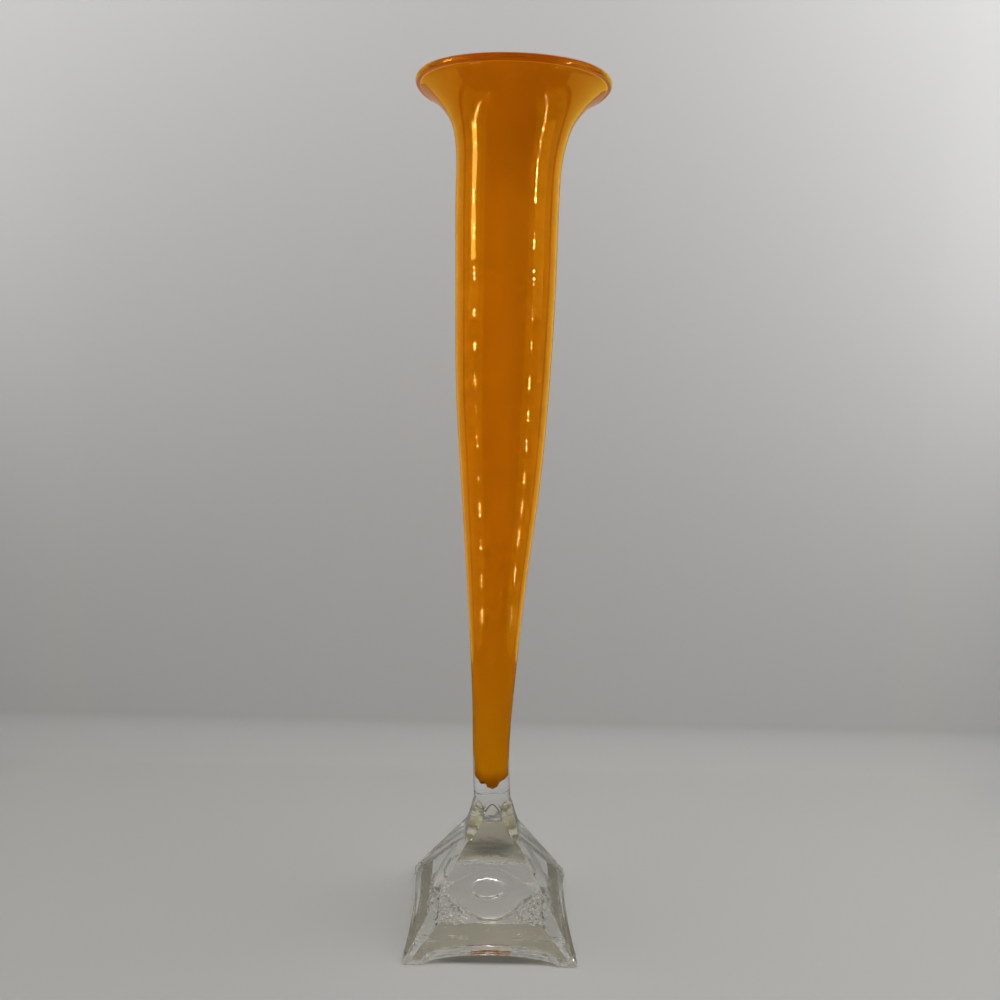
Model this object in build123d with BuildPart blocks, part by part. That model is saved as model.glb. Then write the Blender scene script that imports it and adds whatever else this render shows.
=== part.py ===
from build123d import *
from math import sqrt
import os

# A trumpet vase in cased glass, in millimetres, +Z up, with its origin at the middle of the base.
# The clear foot is pressed as a square pyramid. Its four flats and the four hollow leaves on its corners
# run up into a round stem, where they end in a ring of eight small arches. The body is two layers of
# glass blown as one wall: a clear casing outside and an opaque orange lining inside, closed in the stem.

# Overall sizes
vase_height = 450.0
flare_height = 50.0
rim_radius = 48.6
throat_radius = 26.4
stem_radius = 10.2
joint_height = 74.0

# Wall of the body
casing_wall = 1.9
lining_wall = 1.9
rim_slope = 36.0
throat_lean = 1.6
stem_end_wall = 4.9
stem_end_rise = 7.0
stem_thick_rise = 76.0

# Outside of the foot
base_side = 92.6
shoulder_side = 30.4
neck_rise = 20.2
collar_rise = 4.0
neck_proud = 0.15
shoulder_round = 7.0
neck_round = 12.0
leaf_hollow = 1.8
leaf_proud = 0.2
collar_radius = 13.0

# Underside of the foot
land_width = 3.8
hollow_depth = 11.5
hollow_wall_run = 15.4
arch_margin = 10.0
arch_rise = 2.6
pad_corner_depth = 9.2
recess_margin = 3.8
recess_step = 0.8
recess_crown = 1.3
pontil_radius = 9.7
pontil_bead = 0.5

# Extra length by which a cutting shape passes the face that it cuts
overrun = 6.0

# Outline of the body: each pair is a share of the rise and a share of the growth in radius
body_shares = [
    (0.0, 0.0), (0.11, 0.012), (0.2, 0.107), (0.325, 0.288), (0.45, 0.515),
    (0.57, 0.73), (0.69, 0.883), (0.8, 0.952), (0.9, 0.982), (1.0, 1.0),
]
flare_shares = [(0.25, 0.018), (0.46, 0.081), (0.63, 0.191), (0.79, 0.414), (0.91, 0.691), (1.0, 1.0)]

# Places along the body's wall line where the inner layers take a point
layer_shares = [
    0.07, 0.11, 0.15, 0.2, 0.28, 0.36, 0.44, 0.52, 0.6, 0.68,
    0.76, 0.83, 0.88, 0.91, 0.93, 0.95, 0.97, 0.985, 1.0,
]

# Sizes that follow from the ones above
wall = casing_wall + lining_wall
lip_radius = wall / 2
throat_height = vase_height - flare_height
stem_end_height = joint_height + stem_end_rise
stem_thick_height = joint_height + stem_thick_rise
neck_height = joint_height - collar_rise
shoulder_height = neck_height - neck_rise
base_half = base_side / 2
shoulder_half = shoulder_side / 2
neck_half = stem_radius + neck_proud
hollow_mouth_side = base_side - land_width * 2
hollow_ceiling_side = hollow_mouth_side - hollow_wall_run * 2
arch_span = base_side - arch_margin * 2
recess_radius = hollow_ceiling_side / 2 - recess_margin
corner_ratio = sqrt(2)
rim_up = Vector(1, 0).rotate(Axis.Z, rim_slope)
rim_in = Vector(0, 1).rotate(Axis.Z, rim_slope)
throat_up = Vector(0, 1).rotate(Axis.Z, -throat_lean)
lip_centre = Vector(rim_radius - lip_radius, vase_height - lip_radius)
wall_end = lip_centre - rim_in * lip_radius

# The outer line of the body, from the joint with the foot up to the lip
body_points = [
    (
        stem_radius + (throat_radius - stem_radius) * growth,
        joint_height + (throat_height - joint_height) * rise,
    )
    for rise, growth in body_shares
]
flare_points = [
    (
        throat_radius + (wall_end.X - throat_radius) * growth,
        throat_height + (wall_end.Y - throat_height) * rise,
    )
    for rise, growth in flare_shares
]
with BuildLine() as wall_line:
    Spline(*body_points, tangents=[(0, 1), throat_up])
    Spline(body_points[-1], *flare_points, tangents=[throat_up, rim_up])
outer_wall = wall_line.wire()


def layer_points(depth):
    """Points of a surface that lies a depth inside the body's outer line, above the stem's solid end.

    In the stem the glass outside the layer is thicker than the depth. The extra thickness fades out,
    by its square, from stem_end_height to stem_thick_height.
    """
    end_radius = stem_radius - stem_end_wall + casing_wall - depth
    points = [(end_radius, stem_end_height + stem_radius - stem_end_wall)]
    for share in layer_shares:
        place = outer_wall @ share
        along = outer_wall % share
        left = max(0, (stem_thick_height - place.Y) / (stem_thick_height - stem_end_height))
        inset = depth + (stem_end_wall - casing_wall) * left**2
        points.append((place.X - inset * along.Y, place.Y + inset * along.X))
    return points


outer_points = layer_points(casing_wall)
inner_points = layer_points(wall)
lip_tip = lip_centre + rim_up * lip_radius
outer_end = (0, stem_end_height)
inner_end = (0, stem_end_height + lining_wall)

# The opaque orange lining: an open shell, closed by a round end in the stem
with BuildPart() as orange_lining:
    with BuildSketch(Plane.XZ):
        with BuildLine():
            RadiusArc(outer_end, outer_points[0], -outer_points[0][0])
            outside = Spline(*outer_points)
            Line(outside @ 1, lip_tip)
            inside = Spline(*inner_points)
            RadiusArc(lip_tip, inside @ 1, -lip_radius)
            RadiusArc(inner_end, inner_points[0], -inner_points[0][0])
            Line(inner_end, outer_end)
        make_face()
    revolve(axis=Axis.Z)

# The clear casing: the outer layer, solid below the lining's end, with its half of the round lip
with BuildPart() as clear_casing:
    with BuildSketch(Plane.XZ):
        with BuildLine():
            add(wall_line.edges())
            RadiusArc(wall_end, lip_tip, -lip_radius)
            Line(lip_tip, lip_centre)
            Spline(*outer_points)
            RadiusArc(outer_end, outer_points[0], -outer_points[0][0])
            Polyline(outer_end, (0, joint_height), (stem_radius, joint_height))
        make_face()
    revolve(axis=Axis.Z)

# The hollow under the foot, as a solid to cut away: a shallow square pan with four sloping walls, which
# leaves a flat triangle in each corner, a gentle arch through each pair of sides and a disc in the middle
pan_slope = (hollow_mouth_side - hollow_ceiling_side) / hollow_depth
pad_reach = (base_half - pad_corner_depth / corner_ratio) * corner_ratio
with BuildPart() as underside:
    with BuildSketch(Plane.XY.offset(-overrun)):
        mouth_side = hollow_mouth_side + pan_slope * overrun
        Rectangle(mouth_side, mouth_side)
    with BuildSketch(Plane.XY.offset(hollow_depth)):
        Rectangle(hollow_ceiling_side, hollow_ceiling_side)
    loft()
    with BuildSketch(Plane.XY.offset(-overrun)):
        with PolarLocations(pad_reach + base_side / 2, 4, start_angle=45):
            Rectangle(base_side, base_side * 2)
    extrude(amount=overrun + hollow_depth / 2, mode=Mode.SUBTRACT)
    for turn in (0, 90):
        with BuildSketch(Plane.XZ.rotated((0, 0, turn))):
            Ellipse(arch_span / 2, arch_rise)
        extrude(amount=base_half + overrun, both=True)
    with BuildSketch(Plane.XZ):
        with BuildLine():
            step_top = (recess_radius, hollow_depth + recess_step)
            crown = (0, hollow_depth + recess_step + recess_crown)
            Polyline(step_top, (recess_radius, hollow_depth), (0, hollow_depth), crown)
            TangentArc(crown, step_top, tangent=(1, 0))
        make_face()
    revolve(axis=Axis.Z)
    crown_at_pontil = recess_crown * (1 - (pontil_radius / recess_radius) ** 2)
    with Locations((0, 0, hollow_depth + recess_step + crown_at_pontil)):
        Torus(pontil_radius, pontil_bead, mode=Mode.SUBTRACT)

# The pressed foot
with BuildPart() as pressed_foot:
    with BuildSketch(Plane.XZ):
        with BuildLine():
            reach = base_half * corner_ratio + overrun
            collar_foot = joint_height - collar_radius
            top = Line((0, joint_height), (stem_radius, joint_height))
            collar = RadiusArc(top @ 1, (stem_radius + collar_radius, collar_foot), -collar_radius)
            Polyline(collar @ 1, (reach, collar_foot), (reach, 0), (0, 0), top @ 0)
        make_face()
    revolve(axis=Axis.Z)
    for turn in (0, 90):
        with BuildSketch(Plane.XZ.rotated((0, 0, turn))):
            with BuildLine():
                flank = FilletPolyline(
                    (base_half, 0),
                    (shoulder_half, shoulder_height),
                    (neck_half, neck_height),
                    (neck_half, joint_height),
                    radius=[shoulder_round, neck_round],
                )
                Polyline(flank @ 1, (0, joint_height), (0, 0), flank @ 0)
            make_face()
            mirror(about=Plane.YZ)
        extrude(amount=base_side, both=True, mode=Mode.INTERSECT)
    for turn in (45, 135):
        with BuildSketch(Plane.XZ.rotated((0, 0, turn))):
            with BuildLine():
                leaf_point = (shoulder_half * corner_ratio + leaf_proud, shoulder_height)
                leaf = SagittaArc(leaf_point, (neck_half, neck_height + neck_proud), -leaf_hollow)
                Polyline(leaf @ 1, (neck_half, joint_height), (0, joint_height), (0, 0), (reach, 0), leaf @ 0)
            make_face()
            mirror(about=Plane.YZ)
        extrude(amount=base_side, both=True, mode=Mode.INTERSECT)
    add(underside.part, mode=Mode.SUBTRACT)

orange_lining.part.label = "orange_lining"
clear_casing.part.label = "clear_casing"
pressed_foot.part.label = "pressed_foot"

os.makedirs("parts", exist_ok=True)
export_step(orange_lining.part, "parts/orange_lining.step")
export_step(clear_casing.part, "parts/clear_casing.step")
export_step(pressed_foot.part, "parts/pressed_foot.step")
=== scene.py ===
"""A trumpet vase in cased glass: a clear vessel with a pressed foot, and the opaque orange layer inside it."""

import logging
import math
from dataclasses import dataclass
from enum import Enum

import bpy
import numpy as np
from bpy.types import Material, Node, NodeSocket, Object, World
from mathutils import Matrix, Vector
from numpy import ndarray


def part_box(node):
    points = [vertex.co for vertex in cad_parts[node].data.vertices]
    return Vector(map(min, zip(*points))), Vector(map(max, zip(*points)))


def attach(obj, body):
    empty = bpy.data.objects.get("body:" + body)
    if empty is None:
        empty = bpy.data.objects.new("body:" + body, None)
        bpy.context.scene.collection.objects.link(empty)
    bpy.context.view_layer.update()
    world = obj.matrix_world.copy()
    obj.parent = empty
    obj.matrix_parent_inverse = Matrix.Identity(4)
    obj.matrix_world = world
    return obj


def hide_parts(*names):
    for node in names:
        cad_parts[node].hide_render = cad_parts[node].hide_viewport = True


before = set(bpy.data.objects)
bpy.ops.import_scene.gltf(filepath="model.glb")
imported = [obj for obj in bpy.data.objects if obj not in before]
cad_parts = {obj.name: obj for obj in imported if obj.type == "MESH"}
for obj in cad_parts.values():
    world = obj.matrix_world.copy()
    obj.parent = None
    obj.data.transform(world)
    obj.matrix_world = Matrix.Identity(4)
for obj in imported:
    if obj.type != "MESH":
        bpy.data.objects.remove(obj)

LOG = logging.getLogger("trumpet_vase")
MM = 0.001
REFLECTIONS = 10
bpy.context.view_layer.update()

Colour = tuple[float, float, float]
Point = tuple[float, float, float]
Pair = tuple[float, float]
Value = NodeSocket | float | tuple[float, ...]
Inputs = dict[str | int, Value]


class Ray(Enum):
    """The kinds of ray that a stage card can be shown to."""

    CAMERA = "visible_camera"
    DIFFUSE = "visible_diffuse"
    GLOSSY = "visible_glossy"
    TRANSMISSION = "visible_transmission"
    SHADOW = "visible_shadow"


class Easing(Enum):
    """How a share grows between its two ends."""

    STRAIGHT = "LINEAR"
    SMOOTH = "SMOOTHSTEP"


def softly_least(first: ndarray, second: ndarray, width: float | ndarray) -> ndarray:
    """The smaller of two surfaces, rounded where they meet.

    Formula: with h = 1/2 + (second - first) / (2 width), held between 0 and 1, the value is
    second (1 - h) + first h - width h (1 - h).

    Args:
        first: Values of one surface.
        second: Values of the other surface.
        width: How far from the meeting line the rounding reaches.

    Returns:
        The rounded minimum.
    """
    h = np.clip(0.5 + 0.5 * (second - first) / width, 0.0, 1.0)
    return second * (1.0 - h) + first * h - width * h * (1.0 - h)


def softly_most(first: ndarray, second: ndarray, width: float | ndarray) -> ndarray:
    """The larger of two surfaces, rounded where they meet: minus the rounded minimum of their negatives."""
    return -softly_least(-first, -second, width)


def flowing_line(knots: ndarray, count: int, crowding: float = 1.0) -> ndarray:
    """Points on the natural cubic curve through some knots.

    Formula: the parameter is the chord length. The second derivatives at the knots solve the usual
    three-term equations with zero at both ends, and each span is the cubic that they give.

    Args:
        knots: Knots, one row each.
        count: Number of points to return.
        crowding: Above 1, points crowd towards the end of the line.

    Returns:
        An array of count rows.
    """
    gaps = np.linalg.norm(np.diff(knots, axis=0), axis=1)
    at = np.concatenate([[0.0], np.cumsum(gaps)])
    size = len(knots)
    system = np.eye(size)
    right = np.zeros_like(knots)
    inner = np.arange(1, size - 1)
    system[inner, inner - 1] = gaps[:-1]
    system[inner, inner] = 2.0 * (gaps[:-1] + gaps[1:])
    system[inner, inner + 1] = gaps[1:]
    slopes = np.diff(knots, axis=0) / gaps[:, None]
    right[inner] = 6.0 * np.diff(slopes, axis=0)
    bend = np.linalg.solve(system, right)
    where = at[-1] * (1.0 - (1.0 - np.linspace(0.0, 1.0, count)) ** crowding)
    span = np.clip(np.searchsorted(at, where, side="right") - 1, 0, size - 2)
    gap = gaps[span][:, None]
    after = (where - at[span])[:, None]
    before = gap - after
    return (
        bend[span] * before**3 / (6.0 * gap)
        + bend[span + 1] * after**3 / (6.0 * gap)
        + (knots[span] / gap - bend[span] * gap / 6.0) * before
        + (knots[span + 1] / gap - bend[span + 1] * gap / 6.0) * after
    )


def inward(line: ndarray) -> ndarray:
    """Unit vectors square to a line, on its left, which is towards the axis.

    Args:
        line: Rows of radius and height.

    Returns:
        Rows of the vectors' two parts.
    """
    along = np.gradient(line, axis=0)
    along /= np.linalg.norm(along, axis=1)[:, None]
    return np.column_stack([-along[:, 1], along[:, 0]])


def turned(line: ndarray, angles: ndarray) -> ndarray:
    """Rings of points made by turning a line of radius and height about the upright axis.

    Formula: x is radius times cosine, y is radius times sine, z is height.

    Args:
        line: Rows of radius and height.
        angles: Angles of the columns, in radians.

    Returns:
        An array of rings, columns and x, y, z.
    """
    radius, height = line[:, :1], line[:, 1:]
    return np.stack(
        [radius * np.cos(angles), radius * np.sin(angles), np.broadcast_to(height, (len(line), len(angles)))],
        axis=-1,
    )


def smooth_piece(name: str, points: ndarray, faces: list[list[int]]) -> Object:
    """Makes a piece with smooth faces, at the origin.

    Args:
        name: Name of the piece.
        points: Rows of x, y and z, in metres.
        faces: Numbers of each face's points.

    Returns:
        The new object, linked to the scene.
    """
    mesh = bpy.data.meshes.new(name)
    mesh.from_pydata(points, [], faces)
    mesh.polygons.foreach_set("use_smooth", np.ones(len(faces), dtype=bool))
    mesh.update()
    piece = bpy.data.objects.new(name, mesh)
    bpy.context.scene.collection.objects.link(piece)
    return piece


@dataclass(frozen=True)
class HandWork:
    """How far the blown body strays from a true form: a slight sideways drift and a rim that isn't level."""

    drift: tuple[Pair, ...] = (  # Pairs of height and sideways shift, in millimetres
        (0.0, 0.0), (40.0, 0.0), (62.0, 0.0), (88.0, -1.45), (130.0, -1.7), (190.0, -1.5), (245.0, -0.85),
        (300.0, -1.15), (360.0, -1.2), (410.0, -1.1), (436.0, 0.1), (450.0, 0.0), (460.0, 0.0),
    )
    steps: int = 400  # Number of points that stand for the drift's curve
    rim_low: float = 425.0  # Height above which the rim's unevenness begins
    rim_full: float = 445.0  # Height at which it is full
    rim_drop: float = 1.17  # Even drop of the rim
    rim_tilt: float = 0.79  # Rise of the rim's front
    rim_saddle: float = 1.13  # Rise of the rim's sides over its front and back

    def bend(self, points: ndarray) -> ndarray:
        """Moves points by the drift and the rim's unevenness.

        Formula: x gains the natural cubic through the drift's pairs, and is left alone below and above
        them. With a the angle from the front, z gains a share times tilt cos a, less saddle cos 2a, less
        the drop. The share grows from none to one by its square.

        Args:
            points: Points as an array whose last axis is x, y, z, in millimetres.

        Returns:
            The moved points.
        """
        curve = flowing_line(np.array(self.drift), self.steps)
        angle = np.arctan2(points[..., 0], -points[..., 1])
        share = np.clip((points[..., 2] - self.rim_low) / (self.rim_full - self.rim_low), 0.0, 1.0) ** 2
        rise = self.rim_tilt * np.cos(angle) - self.rim_saddle * np.cos(2.0 * angle) - self.rim_drop
        moved = points.copy()
        moved[..., 0] += np.interp(points[..., 2], curve[:, 0], curve[:, 1])
        moved[..., 2] += share * rise
        return moved


class Shell:
    """A closed surface made of rings of points, with a pole at either end."""

    def __init__(self) -> None:
        """Starts with no points and no faces."""
        self.points: list[ndarray] = []
        self.quads: list[ndarray] = []
        self.triangles: list[ndarray] = []
        self.count = 0

    def add_points(self, points: ndarray) -> ndarray:
        """Adds points.

        Args:
            points: Points as an array whose last axis is x, y, z.

        Returns:
            The points' numbers, in the same layout.
        """
        flat = points.reshape(-1, 3)
        self.points.append(flat)
        numbers = np.arange(self.count, self.count + len(flat)).reshape(points.shape[:-1])
        self.count += len(flat)
        return numbers

    def join_rings(self, rings: ndarray) -> None:
        """Joins neighbouring rings of equal length with four-sided faces.

        Args:
            rings: Numbers of the points, one ring to a row.
        """
        low, high = rings[:-1], rings[1:]
        corners = [low, np.roll(low, -1, axis=1), np.roll(high, -1, axis=1), high]
        self.quads.append(np.stack(corners, axis=-1).reshape(-1, 4))

    def join_to_half(self, fine: ndarray, coarse: ndarray) -> None:
        """Joins a ring to one with half as many points, with three triangles to each coarse step.

        Args:
            fine: Numbers of the ring's points.
            coarse: Numbers of the other ring's points.
        """
        left, middle, right = fine[0::2], fine[1::2], np.roll(fine[0::2], -1)
        after = np.roll(coarse, -1)
        for corners in ((left, middle, coarse), (middle, after, coarse), (middle, right, after)):
            self.triangles.append(np.stack(corners, axis=-1))

    def close(self, ring: ndarray, pole: ndarray, at_start: bool) -> None:
        """Closes a ring with a fan of triangles to a pole.

        Args:
            ring: Numbers of the ring's points.
            pole: The pole's x, y and z.
            at_start: True below the first ring, False above the last.
        """
        centre = np.full_like(ring, self.add_points(pole[None, :])[0])
        after = np.roll(ring, -1)
        fan = (centre, after, ring) if at_start else (centre, ring, after)
        self.triangles.append(np.stack(fan, axis=-1))

    def build(self, name: str) -> Object:
        """Makes the object, in metres, with its faces outwards and smooth.

        Args:
            name: Name of the piece.

        Returns:
            The new object, linked to the scene, at the origin.
        """
        points = HandWork().bend(np.concatenate(self.points)) * MM
        quads = np.concatenate(self.quads)
        triangles = np.concatenate(self.triangles)
        split = np.concatenate([quads[:, [0, 1, 2]], quads[:, [0, 2, 3]], triangles])
        a, b, c = (points[split[:, k]] for k in range(3))
        if np.einsum("ij,ij->i", a, np.cross(b, c)).sum() < 0.0:
            quads, triangles = quads[:, ::-1], triangles[:, ::-1]
        return smooth_piece(name, points, [*quads.tolist(), *triangles.tolist()])


class NodeBoard:
    """The nodes of a material or a world, with short ways to add them and to join them."""

    def __init__(self, owner: Material | World) -> None:
        """Switches the owner's nodes on and keeps its tree."""
        owner.use_nodes = True
        self.tree = owner.node_tree

    def fill(self, node: Node, inputs: Inputs) -> Node:
        """Joins and sets a node's inputs.

        Args:
            node: The node.
            inputs: A socket to join or a value to set for each input, by its name or number.

        Returns:
            The same node.
        """
        for key, value in inputs.items():
            socket = node.inputs[key]
            if isinstance(value, NodeSocket):
                self.tree.links.new(value, socket)
            else:
                socket.default_value = (*value, 1.0) if socket.type == "RGBA" else value
        return node

    def add(self, kind: str, inputs: Inputs, **settings: str) -> Node:
        """Adds a node.

        Args:
            kind: Its type.
            inputs: What goes to its inputs, as in fill.
            settings: Its other properties, by name.

        Returns:
            The new node.
        """
        node = self.tree.nodes.new(kind)
        for name, value in settings.items():
            setattr(node, name, value)
        return self.fill(node, inputs)

    def result(self, output: str | int, kind: str, inputs: Inputs, **settings: str) -> NodeSocket:
        """One output of a new node, by its name or number."""
        return self.add(kind, inputs, **settings).outputs[output]

    def place(self) -> NodeSocket:
        """The place on the piece, in metres."""
        return self.result("Object", "ShaderNodeTexCoord", {})

    def axes(self, place: Value) -> list[NodeSocket]:
        """A place's x, y and z."""
        return list(self.add("ShaderNodeSeparateXYZ", {"Vector": place}).outputs)

    def moved(self, place: Value, scale: Point, middle: Point = (0.0, 0.0, 0.0)) -> NodeSocket:
        """A place less a middle, with its axes scaled."""
        shift = tuple(-start * size for start, size in zip(middle, scale))
        return self.result("Vector", "ShaderNodeMapping", {"Vector": place, "Location": shift, "Scale": scale})

    def length(self, place: Value) -> NodeSocket:
        """Distance of a place from the origin."""
        return self.result("Value", "ShaderNodeVectorMath", {0: place}, operation="LENGTH")

    def maths(self, operation: str, *values: Value) -> NodeSocket:
        """The outcome of an operation on numbers."""
        return self.result("Value", "ShaderNodeMath", dict(enumerate(values)), operation=operation)

    def noise(self, place: Value, size: float, detail: float) -> NodeSocket:
        """A cloudy noise, by its grains to the metre and its detail."""
        return self.result("Fac", "ShaderNodeTexNoise", {"Vector": place, "Scale": size, "Detail": detail})

    def share(self, value: Value, ends: Pair, low: float = 0.0, easing: Easing = Easing.SMOOTH) -> NodeSocket:
        """A number that goes from low to 1 as a value goes from one end to the other, and no further."""
        inputs = {"Value": value, "From Min": ends[0], "From Max": ends[1], "To Min": low}
        return self.result("Result", "ShaderNodeMapRange", inputs, interpolation_type=easing.value)

    def mixed(self, share: Value, first: Value, second: Value) -> NodeSocket:
        """A colour between two others, the second where the share is 1."""
        return self.result(2, "ShaderNodeMix", {"Factor": share, 6: first, 7: second}, data_type="RGBA")

    def bumped(self, height: Value, depth: float, normal: Value | None) -> NodeSocket:
        """The normal of a surface raised by a height times a depth, over an earlier one if there is one."""
        earlier = {} if normal is None else {"Normal": normal}
        return self.result("Normal", "ShaderNodeBump", {"Distance": depth, "Height": height} | earlier)


@dataclass(frozen=True)
class GlassFinish:
    """A clear glass: colourless, with the slight hand-made waviness of its surface."""

    name: str
    tint: Colour  # Colour that the glass gives to light passing through
    shine: Colour  # Colour of its reflections seen square on
    wave_size: float  # Waves per metre of the surface's unevenness
    wave_depth: float  # Depth of the unevenness, in metres
    grain_size: float  # Grains per metre of the finer unevenness
    grain_depth: float  # Depth of the finer unevenness, in metres
    detail: float = 2.0  # Fineness of both within themselves
    bending: float = 1.5  # Index of refraction
    glint_level: float = 0.0115  # Height of a level face that is broken by the press, in metres
    glint_fade: Pair = (0.0009, 0.0005)  # How far off that level its marks end and are full
    glint_side: Pair = (0.011, 0.016)  # How far to either side of the middle they begin and are full
    glint_back: Pair = (0.012, 0.006)  # How far behind the middle they end and are full
    glint_size: float = 260.0  # Marks per metre
    glint_depth: float = 0.0  # Depth of the marks, in metres, or none

    def build(self) -> Material:
        """Makes the node material.

        Returns:
            The new material.
        """
        material = bpy.data.materials.new(self.name)
        board = NodeBoard(material)
        place = board.place()
        normal = None
        for size, depth in ((self.wave_size, self.wave_depth), (self.grain_size, self.grain_depth)):
            normal = board.bumped(board.noise(place, size, self.detail), depth, normal)
        if self.glint_depth:
            normal = board.bumped(self.glints(board, place), self.glint_depth, normal)
        board.fill(board.tree.nodes["Principled BSDF"], {
            "Base Color": self.tint, "Specular Tint": self.shine, "Roughness": 0.0, "IOR": self.bending,
            "Transmission Weight": 1.0, "Normal": normal,
        })
        return material

    def glints(self, board: NodeBoard, place: Value) -> NodeSocket:
        """Coarse marks on the left and the right of one level face, except at its back.

        Formula: a noise, multiplied by a share that falls with the distance from the level, by one that
        grows with the distance from the middle to either side, and by one that falls towards the back.

        Args:
            board: The material's nodes.
            place: The place on the piece.

        Returns:
            Height of the marks, from 0 to 1.
        """
        across, along, up = board.axes(place)
        off = board.maths("ABSOLUTE", board.maths("SUBTRACT", up, self.glint_level))
        level = board.share(off, self.glint_fade, easing=Easing.STRAIGHT)
        side = board.share(board.maths("ABSOLUTE", across), self.glint_side, easing=Easing.STRAIGHT)
        back = board.share(along, self.glint_back, easing=Easing.STRAIGHT)
        all_three = board.maths("MULTIPLY", board.maths("MULTIPLY", level, side), back)
        return board.maths("MULTIPLY", board.noise(place, self.glint_size, 1.0), all_three)


@dataclass(frozen=True)
class OrangeFinish:
    """The opaque orange layer, slightly uneven in colour, redder at its worked rim and end, with a painted
    highlight line.
    """

    name: str
    pale: Colour  # Colour where the layer is thickest
    deep: Colour  # Colour where the layer is thinner
    line: Colour  # Colour of the thin line just inside the lip, a painted highlight
    rim: Colour  # Colour at the lip
    end: Colour  # Colour towards the lower end in the stem
    tip: Colour  # Colour of the last few millimetres there
    shine: float  # Specular level: none under the clear layer, as on bare glass inside
    roughness: float
    cloud_size: float = 90.0  # Clouds per metre of the unevenness in colour
    cloud_stretch: Point = (1.0, 1.0, 0.25)  # How that unevenness is squeezed along each axis
    highlight_line_radii: Pair = (0.0450, 0.0454)  # Radii where the painted highlight line begins and is full
    rim_radii: Pair = (0.0456, 0.0461)  # The same for the rim
    end_heights: Pair = (0.23, 0.085)  # Heights where the end's colour begins and is full
    tip_heights: Pair = (0.091, 0.082)  # The same for the tip

    def build(self) -> Material:
        """Makes the node material.

        Formula: a cloudy mix of two colours, over which each further colour is laid by a smooth share of
        the distance from the axis or of the height.

        Returns:
            The new material.
        """
        material = bpy.data.materials.new(self.name)
        board = NodeBoard(material)
        place = board.place()
        cloud = board.noise(board.moved(place, self.cloud_stretch), self.cloud_size, 3.0)
        colour = board.mixed(cloud, self.pale, self.deep)
        up, out = board.axes(place)[2], board.length(board.moved(place, (1.0, 1.0, 0.0)))
        # The line's colour is a painted highlight laid over the orange.
        for value, ends, shade in (
            (out, self.highlight_line_radii, self.line), (out, self.rim_radii, self.rim),
            (up, self.end_heights, self.end), (up, self.tip_heights, self.tip),
        ):
            colour = board.mixed(board.share(value, ends), colour, shade)
        board.fill(board.tree.nodes["Principled BSDF"], {
            "Base Color": colour, "Roughness": self.roughness, "Specular IOR Level": self.shine,
        })
        return material


Finish = GlassFinish | OrangeFinish


def dress(piece: Object, first: Finish, second: Finish, chosen: ndarray) -> None:
    """Gives a piece two finishes.

    Args:
        piece: The piece.
        first: Finish of the other faces.
        second: Finish of the chosen faces.
        chosen: True for each chosen face.
    """
    piece.data.materials.append(first.build())
    piece.data.materials.append(second.build())
    piece.data.polygons.foreach_set("material_index", chosen.astype(np.int32))


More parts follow.
